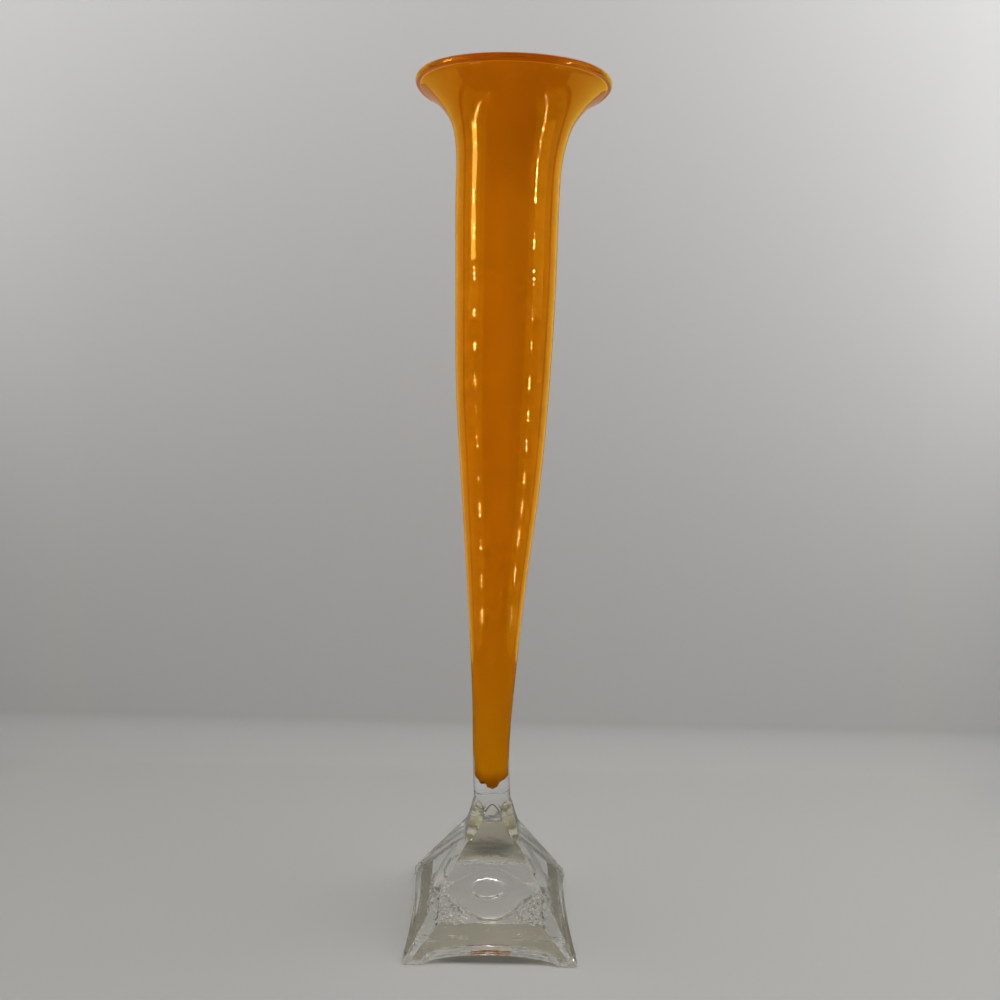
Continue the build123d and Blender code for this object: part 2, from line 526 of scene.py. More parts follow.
@dataclass
class BodyForm:
    """The turned body: its outer line and the layers inside it. Sizes are in millimetres."""

    joint_height: float
    lip_top: float
    rim_radius: float
    stem_radius: float = 10.2
    throat_height: float = 400.0  # Height where the flare begins
    throat_radius: float = 26.4
    casing_wall: float = 1.9  # Thickness of the clear layer
    lining_wall: float = 1.9  # Thickness of the orange layer
    rim_slope: float = 36.0  # Slope of the wall at the rim, in degrees above the horizon
    stem_end_wall: float = 4.9  # Thickness of the clear glass round the orange layer's lower end
    stem_end_height: float = 81.0  # Height of that end
    stem_thick_height: float = 150.0  # Height up to which the clear glass there is thicker than higher up
    lip_groove: float = 0.5
    groove_place: float = 1.3  # Distance of the groove from the lip
    groove_width: float = 0.8
    rows: int = 132  # Number of points on the outer line
    row_crowding: float = 1.8  # How much they crowd towards the lip
    body_shares: tuple[Pair, ...] = (  # Shares of the body's rise and of its growth in radius
        (0.0, 0.0), (0.11, 0.012), (0.2, 0.107), (0.325, 0.288), (0.45, 0.515),
        (0.57, 0.73), (0.69, 0.883), (0.8, 0.952), (0.9, 0.982), (1.0, 1.0),
    )
    flare_shares: tuple[Pair, ...] = (  # The same for the flare
        (0.25, 0.018), (0.46, 0.081), (0.63, 0.191), (0.79, 0.414), (0.91, 0.691), (1.0, 1.0),
    )
    end_waves: tuple[Pair, ...] = (  # Degrees from the front, and heights of the orange layer's end
        (-180.0, 82.0), (-140.0, 85.0), (-100.0, 82.0), (-75.0, 82.0), (-56.0, 80.0), (-37.0, 82.8),
        (-18.0, 78.7), (4.0, 77.9), (23.0, 78.8), (42.0, 81.6), (60.0, 83.0), (120.0, 82.0), (150.0, 85.0),
    )

    def __post_init__(self) -> None:
        """Works out the lip and the outer line from the sizes."""
        slope = math.radians(self.rim_slope)
        self.wall = self.casing_wall + self.lining_wall
        self.lip_radius = self.wall / 2.0
        self.rim_up = np.array([math.cos(slope), math.sin(slope)])
        self.rim_in = np.array([-math.sin(slope), math.cos(slope)])
        self.lip_centre = np.array([self.rim_radius, self.lip_top]) - self.lip_radius
        wall_end = self.lip_centre - self.rim_in * self.lip_radius
        body = np.array(self.body_shares)
        flare = np.array(self.flare_shares)
        growth = np.concatenate([
            self.stem_radius + (self.throat_radius - self.stem_radius) * body[:, 1],
            self.throat_radius + (wall_end[0] - self.throat_radius) * flare[:, 1],
        ])
        rise = np.concatenate([
            self.joint_height + (self.throat_height - self.joint_height) * body[:, 0],
            self.throat_height + (wall_end[1] - self.throat_height) * flare[:, 0],
        ])
        self.outer = flowing_line(np.column_stack([growth, rise]), self.rows, self.row_crowding)

    def layer(self, depth: float) -> ndarray:
        """The line of a surface inside the wall, from the stem's solid end up to the lip.

        Formula: each point of the outer line moves square to it by the depth, and in the stem by an
        extra thickness as well, which fades out by its square.

        Args:
            depth: Depth below the outer line, in millimetres.

        Returns:
            Rows of radius and height.
        """
        left = (self.stem_thick_height - self.outer[:, 1]) / (self.stem_thick_height - self.stem_end_height)
        extra = (self.stem_end_wall - self.casing_wall) * np.clip(left, 0.0, 1.0) ** 2
        line = self.outer + inward(self.outer) * (depth + extra)[:, None]
        start = self.stem_end_height + self.stem_radius - self.stem_end_wall
        return line[self.outer[:, 1] > start]

    def lip_arc(self, first: float, last: float, count: int) -> ndarray:
        """Points round the lip, by angles in degrees from its outer side to its inner side."""
        turn = np.radians(np.linspace(first, last, count))[:, None]
        return self.lip_centre + self.lip_radius * (np.sin(turn) * self.rim_up - np.cos(turn) * self.rim_in)

    def grooved(self) -> ndarray:
        """The outer line with a shallow groove just below the lip, which sets the lip off as a bead.

        Returns:
            Rows of radius and height.
        """
        away = np.linalg.norm(self.outer - self.outer[-1], axis=1)
        depth = self.lip_groove * np.exp(-(((away - self.groove_place) / self.groove_width) ** 2))
        return self.outer + inward(self.outer) * depth[:, None]


@dataclass
class FootForm:
    """The pressed foot: a square pyramid whose flats and corner leaves run up into a round stem.

    Sizes are in millimetres.
    """

    base_half: float
    joint_height: float
    stem_radius: float = 10.2
    shoulder_height: float = 49.8  # Height where the flats turn steep
    shoulder_half: float = 15.2  # Half-width between opposite flats there
    neck_height: float = 70.0  # Height where the flats reach the stem
    neck_proud: float = 0.15  # How far they still stand out from it there
    shoulder_round: float = 0.5
    neck_round: float = 0.5
    leaf_hollow: float = 1.8
    leaf_spread: float = 1.2  # How fast the leaves run out below the shoulder
    collar_radius: float = 13.0  # Radius of the arc by which the stem spreads
    collar_spread: float = 4.0  # How fast it runs out below that arc
    ridge_round: float = 0.45
    corner_round: float = 1.8  # Further rounding of the corners at the base
    corner_round_height: float = 14.0  # Height over which that fades out
    arch_round: float = 0.25  # Rounding where the flats and leaves end at the collar
    seam_depth: float = 0.34  # Depth of the groove there
    seam_width: float = 0.5
    hollow_mouth_half: float = 42.5  # Half the side of the hollow underneath, at the table
    hollow_ceiling_half: float = 27.1
    hollow_depth: float = 11.5
    ceiling_round: float = 0.4
    pan_round: float = 0.3  # Rounding at the pads and the side arches
    arch_half: float = 36.3  # Half the span of the arch under each side
    arch_rise: float = 2.6
    arch_splay: float = 0.6  # How steeply that arch rises inwards
    land_width: float = 4.5  # Width of the edge on which it does
    pad_corner_depth: float = 9.2  # Distance of each corner pad's inner edge from the corner
    pad_slope: float = 2.0
    recess_radius: float = 23.3
    recess_lobes: float = 1.5  # How far the recess's edge strays from a circle
    recess_step: float = 0.8
    recess_edge: float = 0.45  # Half-width of that edge
    recess_crown: float = 1.3  # How much deeper the recess is in the middle
    pontil_radius: float = 9.7  # Radius of the ring in the recess
    pontil_place: Pair = (-1.4, 2.4)
    pontil_height: float = 0.7
    pontil_width: float = 0.9
    edge_round: float = 0.5
    edge_fade: float = 40.0  # Height over which the lower edge's waves fade out
    seam_noise: float = 0.12  # Unevenness of the hollow's wall
    columns: int = 400
    column_crowding: float = 0.62  # How much the columns crowd at the ridges

    def __post_init__(self) -> None:
        """Works out the column angles, which crowd at the ridges, the leaves' arc and the hollow's slope."""
        self.hollow_slope = self.hollow_depth / (self.hollow_mouth_half - self.hollow_ceiling_half)
        even = np.arange(self.columns) * 2.0 * math.pi / self.columns
        self.angles = even + self.column_crowding * np.sin(4.0 * even) / 4.0
        low = np.array([self.shoulder_half * math.sqrt(2.0), self.shoulder_height])
        high = np.array([self.stem_radius + self.neck_proud, self.neck_height])
        chord = np.linalg.norm(high - low)
        self.leaf_radius = chord**2 / (8.0 * self.leaf_hollow) + self.leaf_hollow / 2.0
        across = np.array([high[1] - low[1], low[0] - high[0]]) / chord
        self.leaf_centre = (low + high) / 2.0 + across * (self.leaf_radius - self.leaf_hollow)

    def flat(self, height: ndarray) -> ndarray:
        """Half-width between opposite flats.

        Formula: the rounded maximum of the pyramid's line, the neck's line and the stem's radius.

        Args:
            height: Heights, in millimetres.

        Returns:
            Half-widths, in millimetres.
        """
        pyramid = self.base_half + (self.shoulder_half - self.base_half) * height / self.shoulder_height
        top = self.stem_radius + self.neck_proud
        share = (height - self.shoulder_height) / (self.neck_height - self.shoulder_height)
        neck = self.shoulder_half + (top - self.shoulder_half) * share
        shoulder = softly_most(pyramid, neck, self.shoulder_round)
        return softly_most(shoulder, np.full_like(height, top), self.neck_round)

    def leaf(self, height: ndarray) -> ndarray:
        """Distance from the axis to the hollow leaf on a corner, a circular arc, far out below the shoulder.

        Args:
            height: Heights, in millimetres.

        Returns:
            Distances, in millimetres.
        """
        above = np.clip(height, self.shoulder_height, self.neck_height) - self.leaf_centre[1]
        arc = self.leaf_centre[0] - np.sqrt(self.leaf_radius**2 - above**2)
        below = np.maximum(self.shoulder_height - height, 0.0)
        return arc + below * self.leaf_spread

    def column(self, height: ndarray) -> ndarray:
        """Radius of the round collar: a quarter arc that spreads below the joint, then far out.

        Args:
            height: Heights, in millimetres.

        Returns:
            Radii, in millimetres.
        """
        below = np.clip(self.joint_height - height, 0.0, self.collar_radius)
        arc = self.collar_radius - np.sqrt(self.collar_radius**2 - below**2)
        deeper = np.maximum(self.joint_height - self.collar_radius - height, 0.0)
        return self.stem_radius + arc + deeper * self.collar_spread

    @staticmethod
    def fold(angle: ndarray) -> ndarray:
        """How far an angle is from the middle of the nearest flat."""
        quarter = math.pi / 2.0
        return np.abs((angle + quarter / 2.0) % quarter - quarter / 2.0)

    def faceted(self, angle: ndarray, height: ndarray) -> ndarray:
        """Radius of the flats and the leaves alone.

        Formula: the rounded minimum of the two flats nearest the angle and the leaf between them. The
        flat's radius is its half-width over the cosine of the angle from its middle.

        Args:
            angle: Angles about the axis, in radians.
            height: Heights, in millimetres.

        Returns:
            Radii, in millimetres.
        """
        fold, flat = self.fold(angle), self.flat(height)
        low = np.clip(1.0 - height / self.corner_round_height, 0.0, 1.0)
        width = self.ridge_round + self.corner_round * low
        near, far = flat / np.cos(fold), flat / np.sin(np.maximum(fold, 0.2))
        square = softly_least(near, far, width)
        leaf = self.leaf(height) / np.cos(math.pi / 4.0 - fold)
        return softly_least(square, leaf, self.ridge_round)

    def radius(self, angle: ndarray, height: ndarray) -> ndarray:
        """Radius of the outside at an angle and a height.

        Formula: the rounded minimum of the facets and the round collar, less a fine groove along the eight
        arches where they meet. The groove falls off with the distance from that line, which is the gap
        between the two radii over the gap's slope.

        Args:
            angle: Angles about the axis, in radians.
            height: Heights, in millimetres.

        Returns:
            Radii, in millimetres.
        """
        step, turn = 0.1, 0.01
        faceted, column = self.faceted(angle, height), self.column(height)
        gap = faceted - column
        upward = self.faceted(angle, height + step) - self.column(height + step) - gap
        around = self.faceted(angle + turn, height) - self.faceted(angle - turn, height)
        slope = np.hypot(upward / step, around / (2.0 * turn * column))
        away = gap / (np.maximum(slope, 0.05) * self.seam_width)
        return softly_least(faceted, column, self.arch_round) - self.seam_depth * np.exp(-(away**2))

    def unevenness(self, x: ndarray, y: ndarray) -> ndarray:
        """A small irregular waviness.

        Formula: the sum of twenty sine waves, each of a seeded pace, direction and phase.

        Args:
            x: Places across.
            y: Places along.

        Returns:
            Heights, of about 1 at most.
        """
        dice = np.random.default_rng(11)
        total = np.zeros_like(x)
        for _ in range(20):
            pace, turn, phase = dice.uniform(0.3, 2.2), dice.uniform(0.0, 6.28), dice.uniform(0.0, 6.28)
            total += np.sin(pace * (x * math.cos(turn) + y * math.sin(turn)) + phase) / pace**0.5
        return total / 5.0

    def recess_reach(self, angle: ndarray) -> ndarray:
        """Distance from the axis to the recess's edge, a circle with four slight lobes."""
        return self.recess_radius + self.recess_lobes * np.cos(4.0 * angle)

    def underside(self, x: ndarray, y: ndarray) -> ndarray:
        """Height of the underside above the table.

        Formula: the rounded maximum of the pan's sloping wall, capped at its ceiling, and the arch of the
        nearest side, which rises a little inwards, plus the step and the crown of the round recess, less the
        pontil's ring.

        Args:
            x: Places across.
            y: Places along.

        Returns:
            Heights, in millimetres.
        """
        side, other = np.maximum(np.abs(x), np.abs(y)), np.minimum(np.abs(x), np.abs(y))
        uneven = self.seam_noise * self.unevenness(x, y)
        wall = self.hollow_depth - self.hollow_slope * (side - self.hollow_ceiling_half + uneven)
        pan = softly_least(wall, np.full_like(wall, self.hollow_depth), self.ceiling_round)
        pad = (self.base_half * 2.0 - self.pad_corner_depth * math.sqrt(2.0)) - (side + other)
        pan = softly_least(pan, pad * self.pad_slope, self.pan_round)
        growth = 1.0 + self.arch_splay * np.minimum(self.base_half - side, self.land_width) / self.arch_rise
        arch = self.arch_rise * np.sqrt(np.clip(1.0 - (other / self.arch_half) ** 2, 0.0, 1.0)) * growth
        height = softly_most(pan, arch, self.pan_round)
        reach = np.hypot(x, y)
        edge = self.recess_reach(np.arctan2(y, x))
        inside = 0.5 - 0.5 * np.tanh((reach - edge) / self.recess_edge)
        height = height + self.recess_step * inside
        height = height + self.recess_crown * np.clip(1.0 - (reach / edge) ** 2, 0.0, 1.0)
        round_pontil = np.hypot(x - self.pontil_place[0], y - self.pontil_place[1])
        ring = np.exp(-(((round_pontil - self.pontil_radius) / self.pontil_width) ** 2))
        return np.maximum(height - self.pontil_height * ring, 0.0)

    def rings(self) -> ndarray:
        """Rings of the foot from the middle of the underside, over the lower edge, up to the round stem.

        Formula: on the underside, each column's reach runs through a list of key reaches, the pontil's
        ring, the recess's edge, the pan's ceiling, the foot of its wall and the outer edge, with rings
        crowded at each. Up the outside, each column's height runs from its own lower edge.

        Returns:
            An array of rings, columns and x, y, z.
        """
        angle = self.angles
        cosine, sine, fold = np.cos(angle), np.sin(angle), self.fold(angle)
        edge_height = np.zeros_like(angle)
        for _ in range(40):
            edge = self.radius(angle, edge_height)
            edge_height = 0.5 * (edge_height + self.underside(edge * cosine, edge * sine))
        recess = self.recess_reach(angle)
        ceiling = self.hollow_ceiling_half / np.cos(fold)
        wall_foot = ceiling * self.hollow_mouth_half / self.hollow_ceiling_half
        for _ in range(20):
            across = np.clip(1.0 - (wall_foot * np.sin(fold) / self.arch_half) ** 2, 0.0, 1.0)
            drop = self.hollow_depth - self.arch_rise * np.sqrt(across)
            side = self.hollow_ceiling_half + drop / self.hollow_slope
            wall_foot = 0.5 * (wall_foot + side / np.cos(fold))
        wall_foot = np.minimum(wall_foot, edge - 2.5)
        pontil = self.pontil_radius + self.pontil_place[0] * cosine + self.pontil_place[1] * sine
        reaches = [np.full_like(angle, 1.0), np.full_like(angle, 5.0)]
        stops = [
            (pontil, (-2.2, -1.4, -0.7, 0.0, 0.7, 1.4, 2.2)),
            (recess, (-6.0, -3.0, -1.2, -0.7, -0.35, 0.0, 0.35, 0.7, 1.2)),
            (ceiling, (-0.8, -0.4, 0.0, 0.4, 0.8)),
            (ceiling * 0.5 + wall_foot * 0.5, (-3.0, 0.0, 3.0)),
            (wall_foot, (-1.2, -0.6, -0.3, 0.0, 0.3, 0.6, 1.2)),
        ]
        for key, steps in stops:
            reaches += [key + step for step in steps]
        reaches = np.sort(np.array(reaches), axis=0)
        reaches = np.minimum(reaches, edge - self.edge_round * 2.0)
        x, y = reaches * cosine, reaches * sine
        under = np.stack([x, y, self.underside(x, y)], axis=-1)
        rise = np.concatenate([
            [0.0, 0.25, 0.6, 1.2, 2.5, 5.0, 9.0, 14.0, 20.0, 27.0, 34.0, 40.0],
            np.arange(43.0, 62.0, 0.8), np.arange(62.0, 75.0, 0.3), np.arange(75.0, 79.9, 0.6),
        ])
        start = edge_height + self.edge_round
        blend = np.clip(1.0 - rise / self.edge_fade, 0.0, 1.0)[:, None]
        heights = rise[:, None] + start * blend
        radii = self.radius(angle[None, :], heights)
        flank = np.stack([radii * cosine, radii * sine, heights], axis=-1)
        sharp = np.stack([edge * cosine, edge * sine, edge_height], axis=-1)
        share = np.linspace(0.0, 1.0, 5)[1:-1][:, None, None]
        corner = (1.0 - share) ** 2 * under[-1] + 2.0 * share * (1.0 - share) * sharp + share**2 * flank[0]
        return np.concatenate([under, corner, flank])


@dataclass
class ClearVessel:
    """The clear glass of the vase, in one piece from the foot to the lip, as the joints are fused."""

    foot: FootForm
    body: BodyForm
    pressed: GlassFinish  # Finish of the foot
    blown: GlassFinish  # Finish of the body
    blend: float = 4.0  # Height over which the foot's rings take the body's radius, in millimetres
    body_start: float = 80.5  # Height above which the body's own rings begin, in millimetres
    pole_drop: float = 1.5  # How far the inner surface's pole lies below its lowest ring, in millimetres

    def build(self) -> Object:
        """Builds the piece and its two finishes.

        Formula: the foot's rings, then the body's outer line turned about the axis, over the outer half of
        the lip, and back down inside the orange layer, where the inner wall can't be seen.

        Returns:
            The finished piece.
        """
        shell = Shell()
        rings = self.foot.rings()
        share = np.clip((rings[..., 2] - self.body.joint_height) / self.blend, 0.0, 1.0)
        wanted = np.interp(rings[..., 2], self.body.outer[:, 1], self.body.outer[:, 0])
        rings[..., :2] *= (1.0 + share * (wanted / np.hypot(rings[..., 0], rings[..., 1]) - 1.0))[..., None]
        foot_rings = shell.add_points(rings)
        shell.join_rings(foot_rings)
        low = self.foot.underside(np.zeros(1), np.zeros(1))[0]
        shell.close(foot_rings[0], np.array([0.0, 0.0, low]), at_start=True)
        angles = self.foot.angles[::2]
        outside = self.body.grooved()
        outside = outside[outside[:, 1] > self.body_start]
        inside = self.body.layer(self.body.casing_wall + self.body.lining_wall * 0.5)
        line = np.concatenate([outside[:-1], self.body.lip_arc(0.0, 90.0, 12), inside[::-2]])
        body_rings = shell.add_points(turned(line, angles))
        shell.join_rings(body_rings)
        shell.join_to_half(foot_rings[-1], body_rings[0])
        shell.close(body_rings[-1], np.array([0.0, 0.0, inside[0, 1] - self.pole_drop]), at_start=False)
        piece = shell.build("clear_vessel")
        centres = np.empty(len(piece.data.polygons) * 3)
        piece.data.polygons.foreach_get("center", centres)
        dress(piece, self.pressed, self.blown, centres.reshape(-1, 3)[:, 2] > self.body.joint_height * MM)
        return piece


@dataclass
class OrangeLayer:
    """The opaque orange layer: an open shell against the clear one, with an uneven closed end in the stem."""

    body: BodyForm
    covered: OrangeFinish  # Finish where the clear layer covers it
    bare: OrangeFinish  # Finish inside the vase
    columns: int = 288
    end_bulge: float = 1.6  # Height of the end's rounding, in millimetres
    wave_fade: float = 14.0  # Height over which the end's waves fade out, in millimetres
    wave_power: float = 1.5  # Power of that fading
    pole_rise: float = 0.3  # How far the outer surface's pole lies above the end, in millimetres
    pole_drop: float = 1.5  # How far the inner surface's pole lies below its lowest ring, in millimetres

    def build(self) -> Object:
        """Builds the piece: matt where the clear layer covers it, glossy inside the vase.

        Formula: the outer line a wall's depth inside the clear layer, up to the lip's middle, out to the
        lip's tip, over the inner half of the lip and down the inside. Near the lower end, heights follow
        a wavy line round the stem.

        Returns:
            The finished piece.
        """
        body = self.body
        angles = np.arange(self.columns) * 2.0 * math.pi / self.columns
        outer = body.layer(body.casing_wall)
        outer[-1] = body.lip_centre
        inner = body.layer(body.wall)
        tip = body.lip_arc(90.0, 180.0, 10)
        seat = body.lip_centre + (tip[0] - body.lip_centre) * np.linspace(0.25, 0.75, 3)[:, None]
        end_radius = outer[0, 0]
        turn = np.radians(np.linspace(12.0, 90.0, 9))
        bulge = body.stem_end_height + self.end_bulge * (1.0 - np.cos(turn))
        end = np.column_stack([end_radius * np.sin(turn), bulge])
        shell = Shell()
        lower = turned(np.concatenate([end, outer]), angles)
        waves = self.wavy_end(angles)
        fade = (outer[0, 1] + self.wave_fade - lower[..., 2]) / self.wave_fade
        fade = np.clip(fade, 0.0, 1.0) ** self.wave_power
        share = np.clip(np.hypot(lower[..., 0], lower[..., 1]) / end_radius, 0.0, 1.0) ** 2
        lower[..., 2] += fade * share * (waves - body.stem_end_height)
        upper = turned(np.concatenate([seat, tip, inner[-2::-1]]), angles)
        rings = shell.add_points(np.concatenate([lower, upper]))
        shell.join_rings(rings)
        shell.close(rings[0], np.array([0.0, 0.0, body.stem_end_height + self.pole_rise]), at_start=True)
        shell.close(rings[-1], np.array([0.0, 0.0, inner[0, 1] - self.pole_drop]), at_start=False)
        piece = shell.build("orange_layer")
        first_bare = (len(end) + len(outer) + len(seat)) * self.columns
        dress(piece, self.covered, self.bare, np.arange(len(piece.data.polygons)) >= first_bare)
        return piece

    def wavy_end(self, angles: ndarray) -> ndarray:
        """Height of the layer's lower end round the stem.

        Formula: eased between the listed heights by half a cosine wave. An angle of 0 in the list faces
        the front, which is the direction of -Y.

        Args:
            angles: Angles from +X, in radians.

        Returns:
            Heights, in millimetres.
        """
        knots = np.array(self.body.end_waves)
        at = (np.degrees(angles) + 90.0 + 180.0) % 360.0 - 180.0
        places = np.append(knots[:, 0], knots[0, 0] + 360.0)
        heights = np.append(knots[:, 1], knots[0, 1])
        span = np.clip(np.searchsorted(places, at, side="right") - 1, 0, len(knots) - 1)
        share = (at - places[span]) / (places[span + 1] - places[span])
        eased = 0.5 - 0.5 * np.cos(math.pi * share)
        return heights[span] + (heights[span + 1] - heights[span]) * eased


@dataclass
class Tent:
    """The light tent: paper floor, cloth walls, soft ceiling and small lamps. Lengths are in metres."""

    half_width: float = 1.4  # Distance of the paper's side edges from the middle
    front: float = -0.9  # Where the paper floor ends, in front
    floor_height: float = -0.00003  # Height of the floor, a hair below the vase's foot
    sweep_start: float = 0.175  # Where the floor begins to bend up into the back wall
    sweep_radius: float = 0.03
    top: float = 0.9  # Height of the walls
    side: float = 0.3  # Distance of the side walls from the middle
    paper: Colour = (0.555, 0.555, 0.553)  # Colour of the paper on the wall
    floor_paper: Colour = (0.41, 0.41, 0.405)  # The same paper on the floor, darker than on the wall: painted shade
    paper_fade: float = 0.036  # Height over which the one turns into the other
    room_base: float = 0.03  # Strength of the light from the room in front, however it is seen
    room_grey: float = 0.32  # What a camera sees of it besides
    soft_light: float = 0.29  # What matt surfaces get of it besides
    cloth_light: float = 0.47  # Brightness of the side walls in the glass

    def build(self) -> None:
        """Builds the whole tent."""
        self.make_world()
        self.make_floor()
        self.make_walls()
        self.make_lights()

    def make_world(self) -> None:
        """The room in front: dark in the glass, soft for matt surfaces, grey to a camera that looks at it.

        Formula: the strength is a base, plus a share where the ray comes from a camera, plus another share
        where it comes from a matt surface.
        """
        world = bpy.data.worlds.new("room")
        board = NodeBoard(world)
        path = board.add("ShaderNodeLightPath", {})
        total = self.room_base
        for ray, share in (("Is Camera Ray", self.room_grey), ("Is Diffuse Ray", self.soft_light)):
            total = board.maths("MULTIPLY_ADD", path.outputs[ray], share, total)
        board.fill(board.tree.nodes["Background"], {"Strength": total, "Color": (0.98, 0.99, 1.0)})
        bpy.context.scene.world = world

    def make_floor(self) -> None:
        """The paper: a profile of a line, a quarter arc and a line, drawn sideways."""
        turn = np.linspace(0.0, math.pi / 2.0, 24)
        arc = np.column_stack([
            self.sweep_start + self.sweep_radius * np.sin(turn),
            self.sweep_radius * (1.0 - np.cos(turn)) + self.floor_height,
        ])
        profile = np.concatenate([[[self.front, self.floor_height]], arc, [[arc[-1, 0], self.top]]])
        points = np.empty((len(profile), 2, 3))
        points[..., 0] = np.array([-self.half_width, self.half_width])
        points[..., 1:] = profile[:, None, :]
        numbers = np.arange(points.size // 3).reshape(-1, 2)
        quads = np.stack([numbers[:-1, 0], numbers[:-1, 1], numbers[1:, 1], numbers[1:, 0]], axis=-1)
        self.put("paper_floor", points, quads, self.one_sided_paper(), set(Ray) - {Ray.GLOSSY})

    def make_walls(self) -> None:
        """The white side walls, which are only seen through glass."""
        side, front, back, top = self.side, -0.35, self.sweep_start + self.sweep_radius, 0.8
        walls = np.array([
            [[-side, front, 0.0], [-side, front, top], [-side, back, top], [-side, back, 0.0]],
            [[side, front, 0.0], [side, back, 0.0], [side, back, top], [side, front, top]],
        ])
        self.card("white_cloth", walls, (1.0, 1.0, 0.97), self.cloth_light, {Ray.TRANSMISSION})

    def one_sided_paper(self) -> Material:
        """Matt paper that is seen from the vase's side alone, so that no view of the vase is blocked.

        Returns:
            The new material.
        """
        material = bpy.data.materials.new("paper")
        board = NodeBoard(material)
        place = board.place()
        # The paper's step from the floor's darker tone to the wall's lighter one is painted shade.
        rise = board.share(board.axes(place)[2], (0.0, self.paper_fade))
        # Painted shadow and painted light from the foot, laid into the paper's colour.
        colour = self.painted_shadow_and_light(board, place, board.mixed(rise, self.floor_paper, self.paper))
        matt = board.fill(board.tree.nodes["Principled BSDF"], {
            "Base Color": colour, "Roughness": 0.9, "Specular IOR Level": 0.2,
        })
        behind = board.result("Backfacing", "ShaderNodeNewGeometry", {})
        clear = board.result("BSDF", "ShaderNodeBsdfTransparent", {})
        mix = board.result("Shader", "ShaderNodeMixShader", {0: behind, 1: matt.outputs["BSDF"], 2: clear})
        board.fill(board.tree.nodes["Material Output"], {"Surface": mix})
        return material

    @staticmethod
    def painted_shadow_and_light(board: NodeBoard, place: Value, colour: Value) -> NodeSocket:
        """Paints shadow on the floor where the foot keeps the light off, and light where the glass gathers it.

        Formula: for each spot, with d the distance from its middle and x and y stretched, the colour is
        multiplied by a number that goes by a smooth step from the spot's tone at its inner distance to 1
        at its outer one.

        Args:
            board: The material's nodes.
            place: The place on the paper.
            colour: The paper's colour.

        Returns:
            The changed colour.
        """
        # Tones below 1 are painted shadows; tones above 1 are painted pools of light.
        for middle, stretch, ends, tone in (
            ((0.0, 0.032), (0.5, 1.0), (0.005, 0.011), 0.4),
            ((0.0, 0.052), (0.3, 1.0), (0.004, 0.01), 0.45),
            ((0.0, -0.0395), (0.14, 1.0), (0.003, 0.0068), 0.5),
            ((0.0, 0.0435), (0.2, 1.0), (0.001, 0.004), 1.4),
            ((-0.037, 0.02), (2.0, 0.5), (0.008, 0.018), 1.6),
            ((0.037, 0.02), (2.0, 0.5), (0.008, 0.018), 1.4),
        ):
            away = board.length(board.moved(place, (*stretch, 1.0), (*middle, 0.0)))
            shade = {0: colour, "Scale": board.share(away, ends, tone)}
            colour = board.result("Vector", "ShaderNodeVectorMath", shade, operation="SCALE")
        return colour

    @staticmethod
    def put(name: str, points: ndarray, quads: ndarray, material: Material, rays: set[Ray]) -> None:
        """Adds a piece of the stage that only some kinds of ray can see.

        Args:
            name: Name of the piece.
            points: Its points, in any layout.
            quads: Its faces, as rows of four numbers.
            material: Its material.
            rays: The kinds of ray that see it.
        """
        piece = smooth_piece(name, points.reshape(-1, 3), quads.tolist())
        piece.data.materials.append(material)
        for ray in Ray:
            setattr(piece, ray.value, ray in rays)

    def card(self, name: str, corners: ndarray, light: Colour, strength: float, rays: set[Ray]) -> None:
        """A glowing card that only some kinds of ray can see.

        Args:
            name: Name of the card.
            corners: Quads as an array of cards, corners and x, y, z.
            light: Colour of the light.
            strength: Strength of the light.
            rays: The kinds of ray that see it.
        """
        material = bpy.data.materials.new(name)
        board = NodeBoard(material)
        board.tree.nodes.clear()
        glow = board.result("Emission", "ShaderNodeEmission", {"Color": light, "Strength": strength})
        board.add("ShaderNodeOutputMaterial", {"Surface": glow})
        self.put(name, corners, np.arange(len(corners) * 4).reshape(-1, 4), material, rays)

    @staticmethod
    def upright(azimuths: Pair, distance: float, heights: Pair) -> ndarray:
        """One upright card that faces the vase.

        Args:
            azimuths: Where it begins and ends, in degrees from the front, positive to the right.
            distance: Distance of both ends from the axis.
            heights: Its lower and upper edge.

        Returns:
            Its corners.
        """
        turn, (low, high) = np.radians(azimuths), heights
        left, right = np.column_stack([np.sin(turn) * distance, -np.cos(turn) * distance])
        return np.array([[[*left, low], [*right, low], [*right, high], [*left, high]]])

    @staticmethod
    def lying(across: Pair, along: Pair, height: float) -> ndarray:
        """One level card, given its span in x, its span in y and its height."""
        (left, right), (front, back) = across, along
        return np.array([[
            [left, front, height], [right, front, height], [right, back, height], [left, back, height],
        ]])

    @staticmethod
    def facing(across: float, along: Pair, heights: Pair) -> ndarray:
        """One upright card square to x, given its place in x, its span in y and its heights."""
        (front, back), (low, high) = along, heights
        return np.array([[
            [across, front, low], [across, back, low], [across, back, high], [across, front, high],
        ]])

